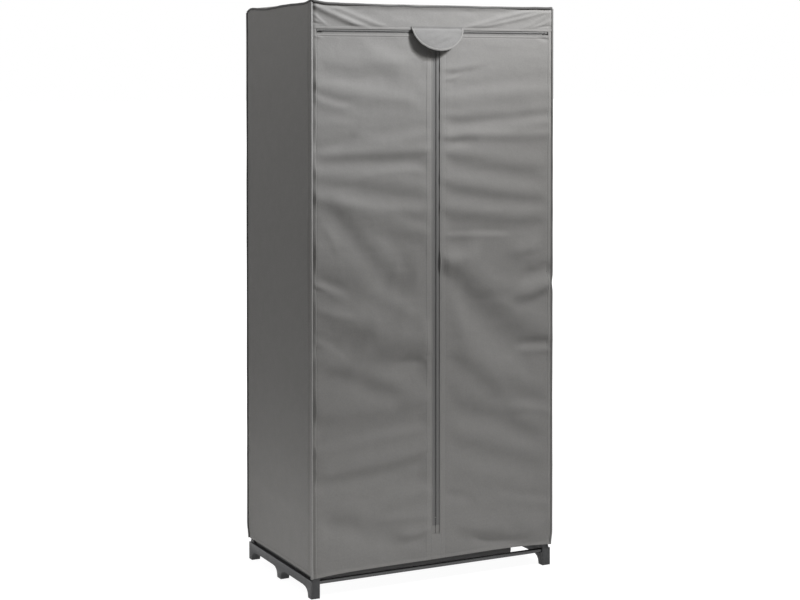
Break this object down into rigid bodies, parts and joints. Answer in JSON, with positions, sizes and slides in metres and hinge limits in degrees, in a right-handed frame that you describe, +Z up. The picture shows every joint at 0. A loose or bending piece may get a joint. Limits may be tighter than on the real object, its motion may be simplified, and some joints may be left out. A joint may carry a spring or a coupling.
{
  "type": "portable fabric wardrobe",
  "caption": "Free-standing cloth wardrobe on a plug-together tube frame, with zipped front doors, a half-moon flap over the zip sliders and a hanging rail inside.",
  "frame": {"origin": "middle of the footprint on the floor, under the middle of the cover", "axes": "+Z up, +X to the viewer's right when facing the doors, -Y towards the viewer, so the doors face -Y"},
  "size_m": [0.75, 0.4782, 1.6],
  "materials": {
    "cover_cloth": "grey non-woven polypropylene cloth, fine dimpled emboss, matt with a slight sheen",
    "welt": "the same cloth folded over a cord, matt",
    "zip": "dark grey woven tape with a nylon coil",
    "zip_slider": "dark grey enamel, semi-gloss",
    "moulded_plastic": "dark grey moulded polypropylene, satin",
    "painted_tube": "dark grey powder-coated steel tube, satin"
  },
  "bodies": {
    "cover_and_frame": {"base_side_left": "moulded_plastic", "base_side_right": "moulded_plastic", "post_joiner_front_left": "moulded_plastic", "post_joiner_front_right": "moulded_plastic", "post_joiner_back_left": "moulded_plastic", "post_joiner_back_right": "moulded_plastic", "top_corner_front_left": "moulded_plastic", "top_corner_front_right": "moulded_plastic", "top_corner_back_left": "moulded_plastic", "top_corner_back_right": "moulded_plastic", "hanging_rail_bracket_left": "moulded_plastic", "hanging_rail_bracket_right": "moulded_plastic", "base_rail_front": "painted_tube", "base_rail_middle": "painted_tube", "base_rail_back": "painted_tube", "post_lower_front_left": "painted_tube", "post_lower_front_right": "painted_tube", "post_lower_back_left": "painted_tube", "post_lower_back_right": "painted_tube", "post_upper_front_left": "painted_tube", "post_upper_front_right": "painted_tube", "post_upper_back_left": "painted_tube", "post_upper_back_right": "painted_tube", "top_rail_front": "painted_tube", "top_rail_back": "painted_tube", "top_rail_left": "painted_tube", "top_rail_right": "painted_tube", "hanging_rail": "painted_tube", "bottom_shelf": "cover_cloth", "cover_top": "cover_cloth", "side_panel_left": "cover_cloth", "side_panel_right": "cover_cloth", "back_panel": "cover_cloth", "header": "cover_cloth", "front_edge_left": "cover_cloth", "front_edge_right": "cover_cloth", "skirt": "cover_cloth", "piping_top": "welt", "piping_front_left": "welt", "piping_front_right": "welt", "piping_back_left": "welt", "piping_back_right": "welt", "zip_header_left": "zip", "zip_header_right": "zip", "zip_skirt_tape": "zip"},
    "door_left": {"door_left": "cover_cloth", "zip_upright_left": "zip", "zip_door_left": "zip"},
    "door_right": {"door_right": "cover_cloth", "zip_upright_right": "zip", "zip_door_right": "zip"},
    "slider_upright": {"slider_upright": "zip_slider"},
    "slider_left": {"slider_left": "zip_slider"},
    "slider_right": {"slider_right": "zip_slider"},
    "pull_upright": {"pull_upright": "zip_slider"},
    "pull_left": {"pull_left": "zip_slider"},
    "pull_right": {"pull_right": "zip_slider"},
    "half_moon_flap": {"half_moon_flap": "cover_cloth"}
  },
  "joints": [
    {"name": "door_left_swing", "type": "hinge", "parent": "cover_and_frame", "child": "door_left", "pos_m": [-0.361, -0.23, 0.8345], "axis": [0, 0, -1], "range_deg": [0, 100]},
    {"name": "door_right_swing", "type": "hinge", "parent": "cover_and_frame", "child": "door_right", "pos_m": [0.361, -0.23, 0.8345], "axis": [0, 0, 1], "range_deg": [0, 100]},
    {"name": "slider_upright_travel", "type": "slide", "parent": "cover_and_frame", "child": "slider_upright", "axis": [0, 0, -1], "range_m": [0, 1.3688]},
    {"name": "slider_left_travel", "type": "slide", "parent": "cover_and_frame", "child": "slider_left", "axis": [-1, 0, 0], "range_m": [0, 0.334]},
    {"name": "slider_right_travel", "type": "slide", "parent": "cover_and_frame", "child": "slider_right", "axis": [1, 0, 0], "range_m": [0, 0.334]},
    {"name": "pull_upright_turn", "type": "hinge", "parent": "slider_upright", "child": "pull_upright", "pos_m": [0, -0.232, 1.5168], "axis": [-1, 0, 0], "range_deg": [0, 160]},
    {"name": "pull_left_turn", "type": "hinge", "parent": "slider_left", "child": "pull_left", "pos_m": [-0.018, -0.232, 1.5225], "axis": [0, 0, -1], "range_deg": [0, 160]},
    {"name": "pull_right_turn", "type": "hinge", "parent": "slider_right", "child": "pull_right", "pos_m": [0.018, -0.232, 1.5225], "axis": [0, 0, 1], "range_deg": [0, 160]},
    {"name": "half_moon_flap_lift", "type": "hinge", "parent": "cover_and_frame", "child": "half_moon_flap", "pos_m": [0, -0.2311, 1.539], "axis": [-1, 0, 0], "range_deg": [0, 120]}
  ]
}
